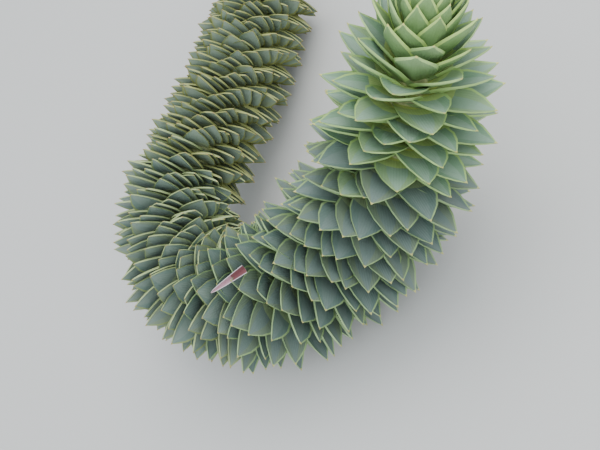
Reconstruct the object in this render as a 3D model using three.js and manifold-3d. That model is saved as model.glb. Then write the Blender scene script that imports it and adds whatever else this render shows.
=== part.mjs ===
// A cut, leafy branch of a monkey puzzle tree, lying on its side. Millimetres, +Z up.
// One woody stem curls from the cut end round to the bud. Stiff triangular leaves stand out of it
// all round in a spiral, short and upright at the bud, longest behind it, and shorter on older wood.
// The origin is on the ground, under the middle of the branch.
import * as THREE from "three";
import { mergeVertices } from "three/addons/utils/BufferGeometryUtils.js";
import Module from "manifold-3d";

const wasm = await Module();
wasm.setup();

// The stem's middle line, from the cut end to the tip of the bud.
const AXIS_POINTS = [
  [108, 113, 29],
  [67, 95, 31],
  [27, 74, 36],
  [-14, 57, 43],
  [-54, 39, 48],
  [-76, 2, 42],
  [-60, -39, 38],
  [-24, -64, 43],
  [13, -83, 64],
  [45, -94, 94],
  [75, -105, 127],
];
const AXIS_TENSION = 0.5;
const PLUMB = new THREE.Vector3(0, 0, 1);

// Each profile lists [distance behind the bud's tip, size], and is straight between its rows.
const STEM_RADIUS = [[0, 1.5], [40, 3], [150, 4.6], [450, 7.5]];
const CORE_RADIUS = [[0, 1], [4, 3.4], [12, 5.5], [30, 8], [60, 10], [110, 11.5], [450, 12]];
const LEAF_LENGTH = [
  [0, 9], [8, 15], [22, 23], [45, 29], [140, 29.5], [190, 26], [230, 23.5], [330, 20.5], [450, 18.5],
];
const LEAF_ANGLE = [
  [0, 5], [8, 14], [20, 30], [34, 44], [46, 70], [64, 80], [120, 86], [180, 82], [240, 74], [450, 70],
];
const LEAF_SPACING = [[0, 0.6], [25, 0.85], [110, 0.9], [200, 0.75], [450, 0.7]];
const TURN_STEP = [[0, 136.5], [200, 136.5], [280, 136.1], [450, 136.1]];

// One leaf, as a share of its own length, and its thickness in millimetres.
const LEAF_WIDTH_SHARE = 0.74;
const LEAF_WIDEST_SHARE = 0.36;
const LEAF_EDGE_LIFT_SHARE = 0.06;
const LEAF_THICKNESS = 1.5;
const FIRST_LEAF = 1.5;
const FIRST_TURN = 36;
const LAST_LEAF_FROM_CUT = 14;

// Where the foliage and the stem are divided, as distances behind the bud's tip.
const BUD_LENGTH = 32;
const FOLIAGE_CUTS = [32, 72, 112, 152, 192, 232, 272, 312, 352, 392];
const STEM_CUTS = [32, 152, 232, 312];
const CUT_STUB = 12;
const GAP = 0.3;
const SIDES = 9;
const STEP = 8;
const END_MARGIN = 1;
const ROOT_DEPTH = 1;
const ROOT_MARGIN = 1.4;
const BUD_ROOT_SHARE = 0.4;
const NEIGHBOUR_REACH = 16;
const CLEARANCE_SCALE = 1.12;
const FINEST_DETAIL = 0.05;

const axis = new THREE.CatmullRomCurve3(
  AXIS_POINTS.map((p) => new THREE.Vector3(...p)),
  false,
  "catmullrom",
  AXIS_TENSION,
);
axis.arcLengthDivisions = 2000;
const LENGTH = axis.getLength();

// A profile's value at a distance behind the bud's tip.
function at(profile, behind) {
  const next = profile.findIndex((row) => row[0] > behind);
  if (next === 0) return profile[0][1];
  if (next < 0) return profile[profile.length - 1][1];
  const [from, to] = [profile[next - 1], profile[next]];
  return THREE.MathUtils.mapLinear(behind, from[0], to[0], from[1], to[1]);
}

// The stem's middle and its three directions at a distance behind the bud's tip.
// Past either end the middle line runs straight on.
function station(behind) {
  const along = LENGTH - behind;
  const share = THREE.MathUtils.clamp(along / LENGTH, 0, 1);
  const forward = axis.getTangentAt(share);
  const side = new THREE.Vector3().crossVectors(forward, PLUMB).normalize();
  const up = new THREE.Vector3().crossVectors(side, forward);
  const middle = axis.getPointAt(share).addScaledVector(forward, along - share * LENGTH);
  return { middle, forward, side, up };
}

// A closed three.js geometry as a solid that faces out.
function solid(geometry) {
  geometry.deleteAttribute("normal");
  geometry.deleteAttribute("uv");
  const merged = mergeVertices(geometry, 1e-4);
  const triVerts = new Uint32Array(merged.index.array);
  const vertProperties = merged.attributes.position.array;
  const made = new wasm.Manifold(new wasm.Mesh({ numProp: 3, vertProperties, triVerts }));
  if (made.volume() > 0) return made;
  triVerts.reverse();
  return new wasm.Manifold(new wasm.Mesh({ numProp: 3, vertProperties, triVerts }));
}

// A round limb along the stem's line, between two distances behind the bud's tip, turned on a lathe
// and then bent on to the line. Its ends are flat, and between them it has a ring at each whole step,
// so that the faces of a limb and of the bore round it lie side by side.
function limb(near, far, radiusAt) {
  const rings = [far];
  for (let behind = Math.floor(far / STEP) * STEP; behind > near + END_MARGIN; behind -= STEP) {
    if (behind < far - END_MARGIN) rings.push(behind);
  }
  rings.push(near);
  const profile = rings.map((behind) => new THREE.Vector2(radiusAt(behind), -behind));
  profile.unshift(new THREE.Vector2(0, -far));
  profile.push(new THREE.Vector2(0, -near));
  const geometry = new THREE.LatheGeometry(profile, SIDES);
  const position = geometry.attributes.position;
  for (let i = 0; i < position.count; i++) {
    const { middle, side, up } = station(-position.getY(i));
    middle.addScaledVector(side, position.getX(i)).addScaledVector(up, position.getZ(i));
    position.setXYZ(i, middle.x, middle.y, middle.z);
  }
  return solid(geometry);
}

// The points of one leaf: its root inside the core, its tip, its two edges, its top and its keel.
function leafPoints(leaf, near, far, grow = 1) {
  const behind = THREE.MathUtils.clamp(leaf.behind, near + ROOT_MARGIN, far - ROOT_MARGIN);
  const { middle, forward, side, up } = station(behind);
  const radial = side.clone().multiplyScalar(Math.cos(leaf.turn)).addScaledVector(up, Math.sin(leaf.turn));
  const lateral = new THREE.Vector3().crossVectors(radial, forward);
  const length = at(LEAF_LENGTH, leaf.behind);
  const angle = THREE.MathUtils.degToRad(at(LEAF_ANGLE, leaf.behind));
  const outward = radial.clone().multiplyScalar(Math.sin(angle)).addScaledVector(forward, Math.cos(angle));
  const normal = forward.clone().multiplyScalar(Math.sin(angle)).addScaledVector(radial, -Math.cos(angle));

  const core = at(CORE_RADIUS, leaf.behind);
  const rootRadius = near === 0 ? core * BUD_ROOT_SHARE : at(STEM_RADIUS, leaf.behind) + GAP + ROOT_DEPTH;
  const sink = (core - rootRadius) / Math.tan(angle);
  const rootBehind = THREE.MathUtils.clamp(behind + sink, near + ROOT_MARGIN, far - ROOT_MARGIN);
  const rootStation = station(rootBehind);
  const root = rootStation.middle.addScaledVector(radial, rootRadius);

  const base = middle.clone().addScaledVector(radial, core);
  const widest = base.clone().addScaledVector(outward, LEAF_WIDEST_SHARE * length);
  const halfWidth = (grow * LEAF_WIDTH_SHARE * length) / 2;
  const lift = LEAF_EDGE_LIFT_SHARE * length;
  return {
    "1,0,0": widest.clone().addScaledVector(lateral, halfWidth).addScaledVector(normal, lift),
    "-1,0,0": widest.clone().addScaledVector(lateral, -halfWidth).addScaledVector(normal, lift),
    "0,1,0": base.clone().addScaledVector(outward, grow * length),
    "0,-1,0": root,
    "0,0,1": widest.clone().addScaledVector(normal, (grow - 1) * LEAF_THICKNESS),
    "0,0,-1": widest.clone().addScaledVector(normal, -grow * LEAF_THICKNESS),
  };
}

// One leaf: an eight-faced blade, its corners drawn from an octahedron's.
function leafSolid(leaf, near, far, grow = 1) {
  const corners = leafPoints(leaf, near, far, grow);
  const geometry = new THREE.OctahedronGeometry(1);
  const position = geometry.attributes.position;
  for (let i = 0; i < position.count; i++) {
    const key = [position.getX(i), position.getY(i), position.getZ(i)].map((v) => Math.round(v) + 0);
    const corner = corners[key.join(",")];
    position.setXYZ(i, corner.x, corner.y, corner.z);
  }
  return solid(geometry);
}

// Every leaf from the bud back to the cut end, each a step in degrees further round than the last.
// The step is close to three eighths of a turn, so every eighth leaf stands almost straight behind
// another.
function allLeaves() {
  const leaves = [];
  let behind = FIRST_LEAF;
  let turn = FIRST_TURN;
  while (behind < LENGTH - LAST_LEAF_FROM_CUT) {
    leaves.push({ behind, turn: THREE.MathUtils.degToRad(turn) });
    turn += at(TURN_STEP, behind);
    behind += at(LEAF_SPACING, behind);
  }
  return leaves;
}

// A mass of foliage round the stem: a sleeve of leaf bases with the leaves fused to it.
// A leaf that would touch a mass made before it is skipped, and loose scraps are dropped.
function foliage(leaves, near, far, made) {
  let core = limb(near, far, (behind) => at(CORE_RADIUS, behind));
  if (near > 0) {
    const bore = limb(near - GAP, far + GAP, (behind) => at(STEM_RADIUS, behind) + GAP);
    core = core.subtract(bore);
  }
  const own = leaves.filter((leaf) => leaf.behind >= near && leaf.behind < far);
  const kept = own.filter((leaf) => {
    if (leaf.behind - near > NEIGHBOUR_REACH) return true;
    const swollen = leafSolid(leaf, near, far, CLEARANCE_SCALE);
    return made.every((mass) => swollen.intersect(mass).volume() === 0);
  });
  const fused = wasm.Manifold.union([core, ...kept.map((leaf) => leafSolid(leaf, near, far))]);
  const bodies = fused.simplify(FINEST_DETAIL).decompose();
  return bodies.reduce((largest, body) => (body.volume() > largest.volume() ? body : largest));
}

function material(color, roughness) {
  return new THREE.MeshStandardMaterial({ color, roughness, metalness: 0 });
}

const leafGreen = material(0x5f8672, 0.55);
const budGreen = material(0x7fa466, 0.5);
const barkBrown = material(0x6b5138, 0.85);

const branch = new THREE.Group();

function add(name, made, finish) {
  const { numProp, vertProperties, triVerts } = made.getMesh();
  const geometry = new THREE.BufferGeometry()
    .setAttribute("position", new THREE.BufferAttribute(vertProperties, numProp))
    .setIndex(new THREE.BufferAttribute(triVerts, 1));
  geometry.computeVertexNormals();
  const mesh = new THREE.Mesh(geometry, finish);
  mesh.name = name;
  branch.add(mesh);
}

// The stem, in lengths that are split where it bends. The last one ends in the flat cut.
const stemEnds = [...STEM_CUTS, LENGTH + GAP];
for (let i = 0; i < STEM_CUTS.length; i++) {
  const piece = limb(stemEnds[i], stemEnds[i + 1] - GAP, (behind) => at(STEM_RADIUS, behind));
  add(`stem_${i + 1}`, piece, barkBrown);
}

// The bud and the sleeves of foliage behind it.
const leaves = allLeaves();
const masses = [foliage(leaves, 0, BUD_LENGTH - GAP, [])];
add("bud", masses[0], budGreen);
const foliageEnds = [...FOLIAGE_CUTS, LENGTH - CUT_STUB];
for (let i = 0; i < FOLIAGE_CUTS.length; i++) {
  masses.push(foliage(leaves, foliageEnds[i], foliageEnds[i + 1] - GAP, masses));
  add(`foliage_${i + 1}`, masses[masses.length - 1], leafGreen);
}

export default branch;
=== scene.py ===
"""A cut, leafy branch of a monkey puzzle tree, lying on a pale floor. Metres, +Z up.

The branch is put together from the inside out: the woody stem, its sawn end, the cushions that the
leaves grow from, the leaves in their one spiral, and one dead leaf caught among them.
"""

import math

import bpy
import numpy as np
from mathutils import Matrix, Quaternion, Vector


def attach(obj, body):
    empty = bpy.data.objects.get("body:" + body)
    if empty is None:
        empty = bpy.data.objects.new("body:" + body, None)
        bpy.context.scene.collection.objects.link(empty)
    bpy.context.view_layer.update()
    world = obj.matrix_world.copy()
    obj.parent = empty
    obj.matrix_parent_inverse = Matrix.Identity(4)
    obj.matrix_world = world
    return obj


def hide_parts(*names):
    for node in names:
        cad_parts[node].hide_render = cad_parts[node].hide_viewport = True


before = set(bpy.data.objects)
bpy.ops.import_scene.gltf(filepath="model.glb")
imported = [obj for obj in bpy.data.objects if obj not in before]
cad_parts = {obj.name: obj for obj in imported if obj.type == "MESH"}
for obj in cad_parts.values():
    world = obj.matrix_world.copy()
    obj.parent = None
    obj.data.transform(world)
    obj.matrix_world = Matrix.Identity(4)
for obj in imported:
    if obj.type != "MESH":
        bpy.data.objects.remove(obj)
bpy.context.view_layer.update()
MM = 0.001


# The stem: one woody shoot, curled in a hook. Its bark is thin, brown and furrowed, and it carries
# every leaf. It shows only on the short stub where the leaves were stripped for the cut.

# Its middle line from the cut end to the tip of the bud.
stem_line = MM * np.array([
    [108, 113, 29], [67, 95, 31], [27, 74, 36], [-14, 57, 43], [-54, 39, 48], [-76, 2, 42],
    [-60, -39, 38], [-24, -64, 43], [13, -83, 64], [45, -94, 94], [75, -105, 127],
])
line_tension = 0.5
line_samples = 300

# A profile has rows of a place and a size there, and is straight between its rows. The place is the
# distance behind the bud's tip, unless a comment says otherwise.
stem_radius = MM * np.array([[0, 1.5], [40, 3], [150, 4.6], [450, 7.5]])
stem_start = 32.3 * MM
saw_depth = 0.8 * MM
bark_rings = 220
bark_around = 48

# The furrows follow three waves that slant round the stem. Each has a number of crests round the
# stem, a slant and a share of the whole, and a slant of one is a radian for each furrow length.
furrow_depth = 0.5 * MM
furrow_length = 9 * MM
furrow_waves = [(9, 1, 1), (7, -1.3, 1), (16, 0.4, 0.6)]


def smooth_line(points, tension, samples):
    """Points of a smooth line through the given ones, with so many samples between each two.

    Between two points it is the cubic that starts and ends at them, and whose slopes there are the
    tension times the step from the point before to the point after. Past either end, the second
    point mirrored in the end stands in for the missing one.
    """
    padded = np.vstack([2 * points[0] - points[1], points, 2 * points[-1] - points[-2]])
    before, start, end, after = padded[:-3], padded[1:-2], padded[2:-1], padded[3:]
    leaving = tension * (end - before)
    arriving = tension * (after - start)
    square = 3 * (end - start) - 2 * leaving - arriving
    cube = 2 * (start - end) + leaving + arriving
    t = (np.arange(samples) / samples)[None, :, None]
    places = start[:, None] + leaving[:, None] * t + square[:, None] * t**2 + cube[:, None] * t**3
    return np.vstack([places.reshape(-1, 3), points[-1:]])


def unit(vectors):
    """The same directions, each of length one."""
    return vectors / np.linalg.norm(vectors, axis=-1, keepdims=True)


line_places = smooth_line(stem_line, line_tension, line_samples)
line_steps = np.linalg.norm(np.diff(line_places, axis=0), axis=1)
line_along = np.concatenate([[0], np.cumsum(line_steps)])
line_forward = unit(np.gradient(line_places, line_along, axis=0))
stem_length = line_along[-1]


def station(behind):
    """The stem's middle, forward, side and up at each distance behind the bud's tip.

    Forward runs towards the bud, side is level and square to it, and up is square to both. Past
    either end the line runs straight on.
    """
    along = stem_length - np.asarray(behind, float)
    inside = np.clip(along, 0, stem_length)
    middle = np.stack([np.interp(inside, line_along, line_places[:, i]) for i in range(3)], -1)
    forward = unit(np.stack([np.interp(inside, line_along, line_forward[:, i]) for i in range(3)], -1))
    side = unit(np.cross(forward, [0, 0, 1]))
    up = np.cross(side, forward)
    return middle + forward * (along - inside)[..., None], forward, side, up


def at(profile, place):
    """A profile's size at each place, on the straight between the rows before and after it."""
    return np.interp(place, profile[:, 0], profile[:, 1])


def turns_round(count):
    """So many turns, in radians, spread evenly round a ring."""
    return np.linspace(0, 2 * np.pi, count, endpoint=False)[None, :]


def round_stem(behind, turn, radius):
    """Points round the stem: its middle, plus the radius times side and up shared out by the turn."""
    behind, turn, radius = np.broadcast_arrays(behind, turn, radius)
    middle, _, side, up = station(behind)
    outward = np.cos(turn)[..., None] * side + np.sin(turn)[..., None] * up
    return middle + radius[..., None] * outward


def tube_faces(rings, around):
    """Four-sided faces from each ring of points to the next.

    They face outwards where the rings run towards the bud.
    """
    ring, column = np.meshgrid(np.arange(rings - 1), np.arange(around), indexing="ij")
    here = ring * around + column
    beside = ring * around + (column + 1) % around
    return np.stack([here, here + around, beside + around, beside], -1).reshape(-1, 4)


def closed_tube(rings):
    """The points and faces of a tube through rings of points, with a flat face over each end."""
    around = rings.shape[1]
    points = rings.reshape(-1, 3)
    faces = tube_faces(len(rings), around).tolist()
    faces.append(list(range(around)))
    faces.append(list(range(len(points) - around, len(points)))[::-1])
    return points, faces


def add_piece(name, points, faces, materials, material_of_face=None):
    """A smooth mesh whose object sits at the origin, from points and faces of point numbers."""
    mesh = bpy.data.meshes.new(name)
    mesh.from_pydata(points.tolist(), [], faces)
    for material in materials:
        mesh.materials.append(material)
    if material_of_face is not None:
        mesh.polygons.foreach_set("material_index", np.asarray(material_of_face, np.int32))
    mesh.polygons.foreach_set("use_smooth", np.ones(len(mesh.polygons), bool))
    mesh.update()
    piece = bpy.data.objects.new(name, mesh)
    bpy.context.scene.collection.objects.link(piece)
    return piece


def paint(red, green, blue):
    """A colour read off a 0 to 255 chart, as the share of light that it reflects."""
    chart = np.array([red, green, blue]) / 255
    return tuple(np.where(chart <= 0.04045, chart / 12.92, ((chart + 0.055) / 1.055) ** 2.4))


def new_material(name, color, roughness):
    """A material of one colour, with its node tree and its shader."""
    made = bpy.data.materials.new(name)
    made.use_nodes = True
    shader = made.node_tree.nodes["Principled BSDF"]
    shader.inputs["Base Color"].default_value = (*color, 1)
    shader.inputs["Roughness"].default_value = roughness
    return made, made.node_tree, shader


def noise_over(tree, scale, detail):
    """The strength of a cloudy noise on the object's own coordinates, with scale bumps to the metre."""
    place = tree.nodes.new("ShaderNodeTexCoord")
    noise = tree.nodes.new("ShaderNodeTexNoise")
    noise.inputs["Scale"].default_value = scale
    noise.inputs["Detail"].default_value = detail
    tree.links.new(place.outputs["Object"], noise.inputs["Vector"])
    return noise.outputs["Fac"]


def two_tone(tree, mask, low_color, high_color, low, high):
    """A colour that goes from the low one to the high one as the mask goes from low to high."""
    ramp = tree.nodes.new("ShaderNodeValToRGB")
    low_stop, high_stop = ramp.color_ramp.elements
    low_stop.position = low
    low_stop.color = (*low_color, 1)
    high_stop.position = high
    high_stop.color = (*high_color, 1)
    tree.links.new(mask, ramp.inputs["Fac"])
    return ramp.outputs["Color"]


def bump_by(tree, height, shader, strength, depth):
    """The shader's normal, tilted by a height whose full swing is the depth."""
    bump = tree.nodes.new("ShaderNodeBump")
    bump.inputs["Strength"].default_value = strength
    bump.inputs["Distance"].default_value = depth
    tree.links.new(height, bump.inputs["Height"])
    tree.links.new(bump.outputs["Normal"], shader.inputs["Normal"])


bark, bark_tree, bark_shader = new_material("furrowed_bark", paint(98, 76, 56), roughness=0.85)
bark_grain = noise_over(bark_tree, scale=420, detail=6)
bark_tones = two_tone(
    bark_tree, bark_grain,
    low_color=paint(66, 50, 38), high_color=paint(134, 108, 82), low=0.35, high=0.68,
)
bark_tree.links.new(bark_tones, bark_shader.inputs["Base Color"])
bump_by(bark_tree, bark_grain, bark_shader, strength=0.7, depth=0.4 * MM)


def furrowed_radius(behind, turn):
    """The stem's radius less a furrow, where the sum of the slanting waves is near nought."""
    along = behind / furrow_length
    waves = sum(share * np.sin(crests * turn + slant * along) for crests, slant, share in furrow_waves)
    return at(stem_radius, behind) - furrow_depth * (1 - np.clip(np.abs(waves), 0, 1))


bark_behind = np.linspace(stem_length - saw_depth, stem_start, bark_rings)[:, None]
bark_turn = turns_round(bark_around)
bark_skin = round_stem(bark_behind, bark_turn, furrowed_radius(bark_behind, bark_turn))
stem = add_piece("stem_bark", *closed_tube(bark_skin), [bark])
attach(stem, "root")
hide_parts("stem_1", "stem_2", "stem_3", "stem_4")


# The sawn end: a clean cut straight across the shoot. From the outside in it shows the bark, a thin
# green living layer, pale wood with its growth rings, and a small brown pith.

# The share of the stem's radius at which each band of the cut ends, from the middle out.
saw_bands = {"pith": 0.11, "wood": 0.8, "living layer": 0.85, "bark": 1.0}
pith_middle = 0.04
bark_middle = 0.92
wood_rows = 12
ring_spacing = 0.7 * MM

# A wave texture of scale one turns through so many radians over one unit of length.
wave_speed = 20

wood, wood_tree, wood_shader = new_material("sawn_wood", paint(214, 190, 150), roughness=0.7)
wood_place = wood_tree.nodes.new("ShaderNodeTexCoord")
wood_centre = wood_tree.nodes.new("ShaderNodeMapping")
wood_centre.inputs["Location"].default_value = -stem_line[0]
wood_rings = wood_tree.nodes.new("ShaderNodeTexWave")
wood_rings.wave_type = "RINGS"
wood_rings.rings_direction = "SPHERICAL"
wood_rings.inputs["Scale"].default_value = 2 * math.pi / (wave_speed * ring_spacing)
wood_rings.inputs["Distortion"].default_value = 0.6
wood_tree.links.new(wood_place.outputs["Object"], wood_centre.inputs["Vector"])
wood_tree.links.new(wood_centre.outputs["Vector"], wood_rings.inputs["Vector"])
wood_tones = two_tone(
    wood_tree, wood_rings.outputs["Fac"],
    low_color=paint(198, 168, 124), high_color=paint(224, 204, 168), low=0.1, high=0.7,
)
wood_tree.links.new(wood_tones, wood_shader.inputs["Base Color"])
wood_grain = noise_over(wood_tree, scale=1800, detail=3)
bump_by(wood_tree, wood_grain, wood_shader, strength=0.5, depth=0.1 * MM)

pith, pith_tree, pith_shader = new_material("pith", paint(120, 88, 58), roughness=0.9)
pith_grain = noise_over(pith_tree, scale=2500, detail=2)
bump_by(pith_tree, pith_grain, pith_shader, strength=0.6, depth=0.1 * MM)

living, living_tree, living_shader = new_material("living_layer", paint(134, 150, 78), roughness=0.5)
living_grain = noise_over(living_tree, scale=2500, detail=2)
bump_by(living_tree, living_grain, living_shader, strength=0.4, depth=0.05 * MM)

saw_materials = {"pith": pith, "wood": wood, "living layer": living, "bark": bark}


def sawn_end():
    """A thin disc: rings of points out from the pith to the bark, and one more round its back.

    Each ring is the furrowed outline of the bark, shrunk to its share of the radius. A face is of the
    band that the middle of its two shares lies in, and the outer wall and the back are bark.
    """
    wood_shares = np.linspace(saw_bands["pith"], saw_bands["wood"], wood_rows)
    outer_shares = [saw_bands["living layer"], bark_middle, saw_bands["bark"]]
    shares = np.concatenate([[pith_middle], wood_shares, outer_shares])[:, None]
    outline = furrowed_radius(stem_length, bark_turn)
    face = round_stem(stem_length, bark_turn, shares * outline)
    back = round_stem(stem_length - saw_depth, bark_turn, outline)
    points, faces = closed_tube(np.concatenate([face, back]))
    innermost = 0
    outermost = len(saw_bands) - 1
    band = np.searchsorted(list(saw_bands.values()), (shares[1:, 0] + shares[:-1, 0]) / 2)
    of_face = np.repeat(np.append(band, outermost), bark_around)
    return points, faces, np.append(of_face, [innermost, outermost])


saw_points, saw_faces, saw_of_face = sawn_end()
saw_finish = [saw_materials[band] for band in saw_bands]
saw = add_piece("sawn_end", saw_points, saw_faces, saw_finish, saw_of_face)
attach(saw, "root")


# The leaf cushions: the green feet of the leaves, pressed together into a knobbly sleeve round the
# stem. Each foot is a low mound that its leaf springs from.
core_radius = MM * np.array([[0, 1], [4, 3.4], [12, 5.5], [30, 8], [60, 10], [110, 11.5], [450, 12]])
core_start = 0.8 * MM
cushion_around = 96
cushion_step = 0.8 * MM
cushion_height = 1.1 * MM
cushion_sink = 1.0 * MM
cushion_long = 2.4 * MM
cushion_wide = 2.0 * MM
cushion_reach = 8 * MM
bore_clearance = 0.3 * MM
bore_rings = 12

# The bud is the first 32 mm, and a new sleeve starts every 40 mm behind it. The last one tapers to
# the bare stem.
sleeve_end = stem_length - 12 * MM
sleeve_ends = np.append(MM * np.arange(32, 400, 40), sleeve_end)
sleeve_taper = 5 * MM

# The spiral: the gap along the stem from each leaf to the next, and the turn between them in
# degrees. The turn is a little over three eighths of the way round, so every eighth leaf stands
# almost straight behind another.
leaf_spacing = MM * np.array([
    [0, 0.5], [30, 0.7], [75, 0.68], [100, 0.6], [150, 0.52], [190, 0.46], [260, 0.34], [450, 0.3],
])
first_turn = 36
turn_step = [MM, 1] * np.array([[0, 136.5], [200, 136.5], [280, 136.1], [450, 136.1]])
first_leaf = 1.5 * MM
last_leaf = stem_length - 14 * MM


def leaf_places():
    """How far behind the bud's tip each leaf stands: each a spacing behind the one before."""
    places = [first_leaf]
    while places[-1] < last_leaf:
        places.append(places[-1] + float(at(leaf_spacing, places[-1])))
    return np.array(places[:-1])


leaf_behind = leaf_places()
leaf_count = len(leaf_behind)
leaf_turn = np.radians(np.cumsum([first_turn, *at(turn_step, leaf_behind[:-1])]))


def cushion_radius(behind, turn):
    """The core's radius, sunk a little, plus a mound over each leaf's foot, falling off as a bell.

    Where mounds meet, the higher one counts. Near the end of the last sleeve the radius comes down
    to the bare stem's, as the square root of the distance left.
    """
    radius = at(core_radius, behind)
    near = (leaf_behind > behind.min() - cushion_reach) & (leaf_behind < behind.max() + cushion_reach)
    off_along = (behind[..., None] - leaf_behind[near]) / cushion_long
    turn_off = (turn[..., None] - leaf_turn[near] + np.pi) % (2 * np.pi) - np.pi
    off_round = turn_off * radius[..., None] / cushion_wide
    mounds = np.exp(-(off_along**2) - off_round**2).max(-1)
    taper = np.clip((sleeve_end - behind) / sleeve_taper, 0, 1) ** 0.5
    bare = at(stem_radius, behind)
    full = radius - cushion_sink + cushion_height * mounds
    return bare + (full - bare) * taper


# The cushion colours are the tissue's own yellow-green, lightened as painted light to lift the shade in
# the gaps between the leaf feet.
cushion, cushion_tree, cushion_shader = new_material("leaf_cushion", paint(150, 156, 109), roughness=0.6)
cushion_cloud = noise_over(cushion_tree, scale=260, detail=4)
cushion_tones = two_tone(
    cushion_tree, cushion_cloud,
    low_color=paint(127, 135, 91), high_color=paint(172, 175, 125), low=0.35, high=0.65,
)
cushion_tree.links.new(cushion_tones, cushion_shader.inputs["Base Color"])
bump_by(cushion_tree, cushion_cloud, cushion_shader, strength=0.5, depth=0.3 * MM)


def cushion_skin(near, far):
    """Rings of points over the cushions, an even step apart, from the far distance to the near one."""
    rings = int(round((far - near) / cushion_step)) + 1
    behind = np.linspace(far, near, rings)[:, None]
    behind, turn = np.broadcast_arrays(behind, turns_round(cushion_around))
    return round_stem(behind, turn, cushion_radius(behind, turn))


def cushion_sleeve(near, far):
    """The points and faces of a knobbly tube round the stem, closed by the wall of its bore.

    The rings run over the cushions towards the bud and back through the bore, and the last of them
    joins the first.
    """
    outside = cushion_skin(near, far)
    bore_behind = np.linspace(near, far, bore_rings)[:, None]
    bore_radius = at(stem_radius, bore_behind) + bore_clearance
    bore = round_stem(bore_behind, turns_round(cushion_around), bore_radius)
    rings = np.concatenate([outside, bore])
    points = rings.reshape(-1, 3)
    faces = tube_faces(len(rings) + 1, cushion_around) % len(points)
    return points, faces.tolist()


bud_core = add_piece("bud_cushions", *closed_tube(cushion_skin(core_start, sleeve_ends[0])), [cushion])
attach(bud_core, "root")
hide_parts("bud")
for number, (near, far) in enumerate(zip(sleeve_ends, sleeve_ends[1:]), 1):
    sleeve = add_piece(f"foliage_{number}_cushions", *cushion_sleeve(near, far), [cushion])
    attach(sleeve, "root")
    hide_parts(f"foliage_{number}")


# The leaves: stiff, leathery, three-cornered blades, each with a broad foot that clasps the stem, a
# raised pale rim, a keel underneath and a sharp spine. They grow from the cushions in the one
# spiral: short and upright in the bud, longest behind it, and shorter on old wood.
leaf_length = MM * np.array([
    [0, 9], [8, 15], [22, 23], [45, 29], [140, 29.5], [190, 26], [230, 23.5], [330, 20.5], [450, 18.5],
])
leaf_width_share = [MM, 1] * np.array([[0, 0.5], [24, 0.54], [50, 0.66], [450, 0.7]])
leaf_taper = [MM, 1] * np.array([[0, 0.8], [24, 0.85], [50, 1.12], [450, 1.12]])
leaf_cup = [MM, 1] * np.array([[0, 0.35], [30, 0.3], [60, 0.2], [450, 0.15]])
rim_width = MM * np.array([[0, 0.5], [26, 0.55], [46, 0.8], [450, 0.8]])
rim_ridge = 0.25 * MM
spine_half_width = 0.45 * MM

# The angle between a leaf and the way to the bud, and how far the leaf then bends in towards the
# bud, in degrees. The least bend is added to each, so that none is nought.
leaf_angle = [MM, 1] * np.array([
    [0, 5], [8, 14], [20, 30], [34, 44], [46, 70], [64, 80], [120, 86], [180, 82], [240, 74], [450, 70],
])
leaf_bend = [MM, 1] * np.array([[0, 20], [20, 24], [36, 14], [50, 0], [70, -6], [100, -10], [450, -6]])
least_bend = 0.01
floor_clearance = 0.2 * MM

# The thickness goes by the share of a leaf's length, times a fullness that goes by the distance
# behind the bud's tip.
leaf_thickness = [1, MM] * np.array([[-0.16, 2.2], [0, 2.0], [0.3, 1.4], [0.9, 0.9], [1, 0.3]])
leaf_fullness = [MM, 1] * np.array([[0, 0.6], [26, 0.7], [46, 1], [450, 1]])
edge_thinning = 0.35
keel_depth = 0.35 * MM

# Shares of the length: where a leaf is widest, where its blade would end but for the spine, where
# the spine starts, where the clasping foot ends, and where the cup is full.
widest_place = 0.36
blade_end = 0.98
spine_start = 0.95
clasp_reach = 0.35
cup_reach = 0.3

# The width and the cup at the foot, as shares of the full ones.
foot_width_share = 0.78
foot_cup_share = 0.3

# The rows of points on a leaf, as shares of its length. The first is sunk in the cushion. Each row
# goes over the top from edge to edge and back underneath, at a share of the half width plus a share
# of the rim's width.
leaf_rows = np.array([-0.16, 0.08, 0.3, 0.5, 0.7, 0.86, spine_start])
share_of_half = np.array([1, 1, 0.5, 0, -0.5, -1, -1, -1, 0, 1])
share_of_rim = np.array([0, -1, -0.5, 0, 0.5, 1, 0, 1, 0, -1])
on_edge = np.array([1, 0, 0, 0, 0, 0, 1, 0, 0, 0])
underneath = np.array([0, 0, 0, 0, 0, 0, 0, 1, 1, 1])
on_keel = np.array([0, 0, 0, 0, 0, 0, 0, 0, 1, 0])
leaf_around = len(share_of_half)

# How far leaves differ from each other: angle, yaw, twist and bend in degrees, length and width as
# shares, and the distance over which the colours of one age give way to the next.
leaf_spread = np.array([3.5, 4.5, 6, 6, 0.06, 0.05, 7 * MM])
luck = np.random.default_rng(11)
leaf_luck = leaf_spread * np.clip(luck.standard_normal((leaf_count, len(leaf_spread))), -2, 2)
leaf_tint = luck.integers(0, 2, leaf_count)


def turned(first, second, angle):
    """Two directions square to each other, both turned by the angle in their own plane."""
    cosine, sine = np.cos(angle)[..., None], np.sin(angle)[..., None]
    return first * cosine + second * sine, second * cosine - first * sine


def leaf_half_width(share, widest, taper):
    """Half the width along a leaf: a quarter sine out to the widest place, then a quarter cosine.

    The way from the widest place to the tip is raised to the power of the taper, and the lower that
    is, the straighter the edges run. The spine narrows evenly to nought, and it counts where it is
    the wider of the two.
    """
    rising = np.sin(np.pi / 2 * np.clip(share / widest_place, 0, 1))
    past_widest = np.clip((share - widest_place) / (blade_end - widest_place), 0, 1)
    falling = np.cos(np.pi / 2 * past_widest**taper)
    near_foot = foot_width_share + (1 - foot_width_share) * rising
    blade = widest * np.where(share < widest_place, near_foot, falling)
    return np.maximum(blade, spine_half_width * np.clip((1 - share) / (1 - spine_start), 0, 1))


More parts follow.
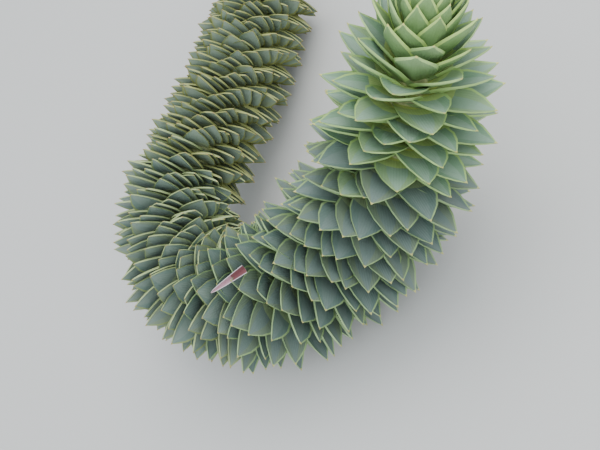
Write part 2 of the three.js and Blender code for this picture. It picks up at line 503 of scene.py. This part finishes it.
def leaf_points(chosen):
    """The points of the chosen leaves, and the place of each across and along its own leaf.

    The midline leaves the cushion at the leaf's angle and then bends evenly, as an arc. Across it
    the blade is a shallow parabola, with a small ridge at each edge. The underside lies a thickness
    below, less towards the edges by the square of the distance across, and deepest along the keel.
    Near the foot the blade's sides drop back as the square of the distance across, so that the foot
    clasps the round stem. A leaf that would reach under the floor is bent up by as much, in
    proportion to the distance from its foot.
    """
    behind = leaf_behind[chosen]
    tilt, yaw, twist, curl, longer, wider, _ = leaf_luck[chosen].T
    middle, forward, side, up = station(behind)
    radial, _ = turned(side, up, leaf_turn[chosen])
    core = at(core_radius, behind)
    lateral = np.cross(radial, forward)
    outward, inward = turned(forward, radial, np.radians(at(leaf_angle, behind) + tilt))
    outward, lateral = turned(outward, lateral, np.radians(yaw))
    lateral, normal = turned(lateral, -inward, np.radians(twist))
    foot = middle + radial * core[:, None]

    length = (at(leaf_length, behind) * (1 + longer))[:, None]
    share = np.append(leaf_rows, 1)[None]
    bend = np.radians(at(leaf_bend, behind) + curl + least_bend)[:, None]
    arc = bend * np.clip(share, 0, None)
    run = length * (np.sin(arc) / bend + np.clip(share, None, 0))
    rise = length * (1 - np.cos(arc)) / bend
    midline = foot[:, None] + outward[:, None] * run[..., None] + normal[:, None] * rise[..., None]
    over, _ = turned(normal[:, None], outward[:, None], -arc)

    widest = length / 2 * (at(leaf_width_share, behind) * (1 + wider))[:, None]
    half = leaf_half_width(share, widest, at(leaf_taper, behind)[:, None])[..., None]
    full_rim = at(rim_width, behind)[:, None, None]
    rim = np.minimum(full_rim, half / 2)
    across = half * share_of_half + rim * share_of_rim
    cup_growth = np.clip(share / cup_reach, foot_cup_share, 1)
    cup = (at(leaf_cup, behind)[:, None] / widest * cup_growth)[..., None]
    thickness = at(leaf_thickness, share)[..., None] * at(leaf_fullness, behind)[:, None, None]
    thickness = thickness * (1 - edge_thinning * (across / np.maximum(half, full_rim)) ** 2)
    keel = keel_depth * (1 - share[..., None]) * on_keel
    height = cup * across**2 + rim_ridge * rim / full_rim * on_edge
    height = height - underneath * np.minimum(thickness + keel, half)
    clasp = np.clip(1 - share / clasp_reach, 0, 1)[..., None] * across**2 / (2 * core[:, None, None])
    points = (
        midline[:, :, None]
        + lateral[:, None, None] * across[..., None]
        + over[:, :, None] * height[..., None]
        - radial[:, None, None] * clasp[..., None]
    )
    under_floor = np.clip(floor_clearance - points[..., 2].min((1, 2)), 0, None)
    points[..., 2] += under_floor[:, None, None] * np.clip(share, 0, 1)[..., None]
    places = np.stack([across, np.broadcast_to((share * length)[..., None], across.shape)], -1)

    # The last row is the tip, a single point, so only its first is kept.
    kept = len(leaf_rows) * leaf_around + 1
    points = points.reshape(len(chosen), -1, 3)[:, :kept]
    places = places.reshape(len(chosen), -1, 2)[:, :kept]
    return points, places


leaf_parts = ["foot", "lit_throat", "face", "other face", "band", "rim", "underside", "spine"]
part_of_strip = ["rim", "face", "band", "band", "face", "rim", "rim", "underside", "underside", "rim"]
top_strips = 6


def leaf_faces():
    """The faces of one leaf and the part that each belongs to: rows of strips, a tip and a foot.

    In the first row the top is the foot, and in the next its middle is the throat. Both are
    painted lighter than the face to lift the shade at the leaf's base: the throat wholly as painted
    light, the foot as a painted glow over the base's own yellow-green.
    """
    tip = len(leaf_rows) * leaf_around
    last_row = np.arange(tip - leaf_around, tip)
    strips = tube_faces(len(leaf_rows), leaf_around)
    tip_fan = np.stack([last_row, np.full(leaf_around, tip), np.roll(last_row, -1)], -1)
    foot_cap = np.arange(leaf_around)[None]
    of_strip = np.array([leaf_parts.index(part) for part in part_of_strip])
    of_row = np.tile(of_strip, (len(leaf_rows) - 1, 1))
    of_row[1, np.isin(part_of_strip, ["face", "band"])] = leaf_parts.index("lit_throat")
    of_row[0, :top_strips] = leaf_parts.index("foot")
    of_row[0, top_strips:] = leaf_parts.index("underside")
    of_tip = np.full(leaf_around, leaf_parts.index("spine"))
    of_foot = [leaf_parts.index("foot")]
    return strips, tip_fan, foot_cap, of_row.ravel(), of_tip, of_foot


def waxy_skin():
    """The skin of every leaf: fine veins that run along it, and a cloudy bloom of wax.

    The height is a sine wave across the leaf, a vein to each wave, plus a fine noise. The roughness
    goes from the shiny value to the dull one with a broader noise.
    """
    group = bpy.data.node_groups.new("waxy_skin", "ShaderNodeTree")
    group.interface.new_socket("Shiny", in_out="INPUT", socket_type="NodeSocketFloat")
    group.interface.new_socket("Dull", in_out="INPUT", socket_type="NodeSocketFloat")
    group.interface.new_socket("Veins", in_out="INPUT", socket_type="NodeSocketFloat")
    group.interface.new_socket("Roughness", in_out="OUTPUT", socket_type="NodeSocketFloat")
    group.interface.new_socket("Height", in_out="OUTPUT", socket_type="NodeSocketFloat")
    entry = group.nodes.new("NodeGroupInput")
    result = group.nodes.new("NodeGroupOutput")
    bloom = noise_over(group, scale=160, detail=3)
    spread = group.nodes.new("ShaderNodeMapRange")
    spread.inputs["From Min"].default_value = 0.35
    spread.inputs["From Max"].default_value = 0.65
    group.links.new(bloom, spread.inputs["Value"])
    group.links.new(entry.outputs["Shiny"], spread.inputs["To Min"])
    group.links.new(entry.outputs["Dull"], spread.inputs["To Max"])
    group.links.new(spread.outputs["Result"], result.inputs["Roughness"])

    place = group.nodes.new("ShaderNodeUVMap")
    place.uv_map = "across_and_along"
    veins = group.nodes.new("ShaderNodeTexWave")
    veins.bands_direction = "X"
    veins.inputs["Scale"].default_value = 1.0
    veins.inputs["Distortion"].default_value = 0.4
    group.links.new(place.outputs["UV"], veins.inputs["Vector"])
    pores = noise_over(group, scale=900, detail=3)
    raised = group.nodes.new("ShaderNodeMath")
    raised.operation = "MULTIPLY_ADD"
    group.links.new(veins.outputs["Fac"], raised.inputs[0])
    group.links.new(entry.outputs["Veins"], raised.inputs[1])
    group.links.new(pores, raised.inputs[2])
    group.links.new(raised.outputs["Value"], result.inputs["Height"])
    return group


leaf_skin = waxy_skin()
vein_pitch = 1.2 * MM


def leaf_material(name, color, shiny, dull, veins, wax):
    """A leaf colour under the waxy skin."""
    made, tree, shader = new_material(name, color, roughness=dull)
    shader.inputs["Specular IOR Level"].default_value = 0.35
    shader.inputs["Coat Weight"].default_value = wax
    shader.inputs["Coat Roughness"].default_value = 0.4
    skin = tree.nodes.new("ShaderNodeGroup")
    skin.node_tree = leaf_skin
    skin.inputs["Shiny"].default_value = shiny
    skin.inputs["Dull"].default_value = dull
    skin.inputs["Veins"].default_value = veins
    tree.links.new(skin.outputs["Roughness"], shader.inputs["Roughness"])
    bump_by(tree, skin.outputs["Height"], shader, strength=0.7, depth=0.16 * MM)
    return made


# Each age of leaf: its name, the distance behind the bud's tip where it ends, and its colours.
# The foot colours are partly the leaf base's own yellow-green and partly a painted glow, as of
# light shining through the leaf. The throat colours are painted light alone. Both lift the shade
# low between the leaves.
leaf_ages = [
    ("bud", 34 * MM, {
        "foot": (185, 197, 103), "lit_throat": (162, 186, 106), "face": (131, 160, 107),
        "other face": (117, 149, 108), "band": (134, 163, 117), "rim": (172, 200, 112),
        "underside": (117, 148, 93), "spine": (206, 204, 118),
    }),
    ("young", 84 * MM, {
        "foot": (200, 214, 118), "lit_throat": (173, 195, 122), "face": (136, 162, 123),
        "other face": (120, 151, 125), "band": (134, 160, 140), "rim": (166, 196, 123),
        "underside": (128, 156, 108), "spine": (200, 198, 118),
    }),
    ("prime", 200 * MM, {
        "foot": (182, 195, 118), "lit_throat": (144, 161, 124), "face": (113, 128, 110),
        "other face": (99, 118, 112), "band": (107, 123, 118), "rim": (150, 176, 123),
        "underside": (112, 133, 110), "spine": (190, 186, 118),
    }),
    # The mature and old colours are partly the older leaves' own olive tones and partly painted light:
    # they are lightened all over to lift the shade among the crowded old leaves.
    ("mature", 300 * MM, {
        "foot": (192, 204, 142), "lit_throat": (162, 178, 146), "face": (139, 153, 133),
        "other face": (123, 142, 135), "band": (133, 149, 141), "rim": (154, 168, 116),
        "underside": (112, 131, 110), "spine": (178, 168, 110),
    }),
    ("old", stem_length, {
        "foot": (192, 202, 148), "lit_throat": (170, 184, 150), "face": (150, 164, 138),
        "other face": (144, 162, 146), "band": (145, 161, 148), "rim": (148, 153, 94),
        "underside": (120, 134, 106), "spine": (168, 148, 94),
    }),
]
age_ends = np.array([end for _, end, _ in leaf_ages])
leaf_materials = []
for age, _, colors in leaf_ages:
    for part in leaf_parts:
        name = f"{age}_leaf_{part.replace(' ', '_')}"
        color = paint(*colors[part])
        leaf_materials.append(leaf_material(name, color, shiny=0.4, dull=0.6, veins=0.6, wax=0.2))

# An edge that turns through more than this stays sharp.
sharp_angle = math.radians(50)


def add_leaves(name, chosen):
    """The chosen leaves as one mesh, with each part of each leaf in the colour of its age.

    A leaf's tint picks one of the two colours of its face. The pattern of veins reads the place
    across the leaf, scaled so that one vein pitch is one wave.
    """
    points, places = leaf_points(chosen)
    first_point = points.shape[1] * np.arange(len(chosen))[:, None, None]
    age_shift = leaf_luck[chosen, -1]
    age = np.searchsorted(age_ends[:-1], leaf_behind[chosen] + age_shift)
    upper_face = leaf_parts.index("face")
    faces = []
    finish = []
    *shapes, of_strips, of_tip, of_foot = leaf_faces()
    for shape, parts in zip(shapes, (of_strips, of_tip, of_foot)):
        faces += (first_point + shape).reshape(-1, shape.shape[1]).tolist()
        parts = np.asarray(parts)[None]
        parts = parts + (parts == upper_face) * leaf_tint[chosen][:, None]
        finish.append((len(leaf_parts) * age[:, None] + parts).ravel())
    used, of_face = np.unique(np.concatenate(finish), return_inverse=True)
    used_materials = [leaf_materials[number] for number in used]
    piece = add_piece(name, points.reshape(-1, 3), faces, used_materials, of_face)
    piece.data.set_sharp_from_angle(angle=sharp_angle)
    corner_points = np.empty(len(piece.data.loops), np.int32)
    piece.data.loops.foreach_get("vertex_index", corner_points)
    vein_places = places.reshape(-1, 2)[corner_points] * 2 * math.pi / (wave_speed * vein_pitch)
    layer = piece.data.uv_layers.new(name="across_and_along")
    layer.uv.foreach_set("vector", vein_places.ravel())
    return piece


mass_of_leaf = np.searchsorted(sleeve_ends, leaf_behind, side="right")
for number in range(len(sleeve_ends)):
    mass = "bud" if number == 0 else f"foliage_{number}"
    blades = add_leaves(f"{mass}_leaves", np.flatnonzero(mass_of_leaf == number))
    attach(blades, "root")
    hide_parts(mass)


# The dead leaf: one old leaf that broke off, dried, folded up along its keel and was caught among
# the live ones on the outside of the bend. It is thin and pinkish brown, and dark red at its torn
# foot.
dead_tip = MM * np.array([-75, -40, 73])
dead_foot = MM * np.array([-57, -47, 70])
dead_half_width = 2.1 * MM
dead_thickness = 0.3 * MM
dead_sag = 0.7 * MM
dead_first_share = 0.01
dead_side_share = 1.1
dead_rings = 14
torn_rings = 5

# Each ring goes over the outside of the fold from edge to edge, and back through the inside.
fold_across = np.array([-1, -0.5, 0, 0.5, 1, 1, 0.5, 0, -0.5, -1])
fold_inside = np.array([0, 0, 0, 0, 0, 1, 1, 1, 1, 1])
part_of_fold = np.array(["outside"] * 4 + ["lip"] + ["inside"] * 4 + ["lip"])
fold_opening = unit(np.array([0, -1, 1]))

dead_colors = {
    "outside": (142, 118, 114), "lip": (190, 178, 182),
    "inside": (164, 126, 136), "torn foot": (112, 64, 68),
}
dead_parts = list(dead_colors)
dead_materials = []
for part, color in dead_colors.items():
    name = f"dead_leaf_{part.replace(' ', '_')}"
    dead, dead_tree, dead_shader = new_material(name, paint(*color), roughness=0.7)
    dead_wrinkles = noise_over(dead_tree, scale=1200, detail=4)
    bump_by(dead_tree, dead_wrinkles, dead_shader, strength=0.5, depth=0.15 * MM)
    dead_materials.append(dead)


def dead_leaf():
    """The rings of a trough from its tip to its foot, and the part that each of its faces belongs to.

    Its half width grows as the square root of the way along. Each side stands up as the distance
    from the fold to the power of one and a half, and the whole leaf sags as half a sine.
    """
    share = np.linspace(dead_first_share, 1, dead_rings)[:, None]
    along = unit(dead_foot - dead_tip)
    opening = unit(np.cross(np.cross(along, fold_opening), along))
    lateral = np.cross(along, opening)
    half = dead_half_width * np.sqrt(share)
    wall = np.minimum(dead_thickness, half / 3) * fold_inside
    across = fold_across * (half - wall)
    lining = wall * (1 - np.abs(fold_across))
    sides = dead_side_share * half * np.abs(fold_across) ** 1.5
    height = sides + lining - dead_sag * np.sin(np.pi * share)
    middle = dead_tip + share * (dead_foot - dead_tip)
    rings = middle[:, None] + across[..., None] * lateral + height[..., None] * opening
    of_face = np.tile([dead_parts.index(part) for part in part_of_fold], (dead_rings - 1, 1))
    of_face[-torn_rings:, part_of_fold == "inside"] = dead_parts.index("torn foot")
    caps = [dead_parts.index("torn foot"), dead_parts.index("lip")]
    return rings, np.append(of_face, caps)


dead_skin, dead_of_face = dead_leaf()
dead_piece = add_piece("dead_leaf", *closed_tube(dead_skin), dead_materials, dead_of_face)
dead_piece.data.set_sharp_from_angle(angle=sharp_angle)
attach(dead_piece, "root")


# The floor: a plain, matt, pale studio sheet that the branch lies on, wide enough to reach past the
# picture's edges.
floor_reach = 4.0
floor_paint, _, _ = new_material("studio_floor", paint(186, 185, 182), roughness=0.9)
floor_corners = floor_reach * np.array([[-1, -1, 0], [1, -1, 0], [1, 1, 0], [-1, 1, 0]])
floor = add_piece("studio_floor", floor_corners, [[0, 1, 2, 3]], [floor_paint])


# The light: two large soft lamps, one high on the side that the bud points to and one high behind
# the camera, and an even pale sky. Each lamp faces the middle of the floor.

# Each lamp's name, place, width, power in watts and colour.
studio_lamps = [
    ("main_lamp", (0.7, 0.0, 1.2), 1.0, 12, (1.0, 0.98, 0.95)),
    ("fill_lamp", (-0.15, -1.0, 1.05), 1.2, 12, (0.94, 0.97, 1.0)),
]
sky_color = (0.86, 0.93, 1.0)
sky_strength = 1.6

for name, place, width, power, color in studio_lamps:
    lamp = bpy.data.lights.new(name, "AREA")
    lamp.size = width
    lamp.energy = power
    lamp.color = color
    stand = bpy.data.objects.new(name, lamp)
    stand.location = place
    stand.rotation_mode = "QUATERNION"
    stand.rotation_quaternion = Vector(place).to_track_quat("Z", "Y")
    bpy.context.scene.collection.objects.link(stand)

sky = bpy.data.worlds.new("studio_sky")
sky.use_nodes = True
sky.node_tree.nodes["Background"].inputs["Color"].default_value = (*sky_color, 1)
sky.node_tree.nodes["Background"].inputs["Strength"].default_value = sky_strength
bpy.context.scene.world = sky


# The camera: above the branch, looking down at it, and turned on its side so that the hook opens
# upwards in the picture.
camera_place = Vector((-0.0545, -0.3764, 0.3968))
camera_target = Vector((-0.0245, -0.0299, 0.0375))
camera_roll = math.radians(-53.43)
camera_view = math.radians(33)
sensor_width = 36

lens = bpy.data.cameras.new("camera")
lens.sensor_width = sensor_width
lens.angle = camera_view
camera = bpy.data.objects.new("camera", lens)
camera.location = camera_place
camera.rotation_mode = "QUATERNION"
level = (camera_target - camera_place).to_track_quat("-Z", "Y")
camera.rotation_quaternion = level @ Quaternion((0, 0, 1), camera_roll)
bpy.context.scene.collection.objects.link(camera)
bpy.context.scene.camera = camera
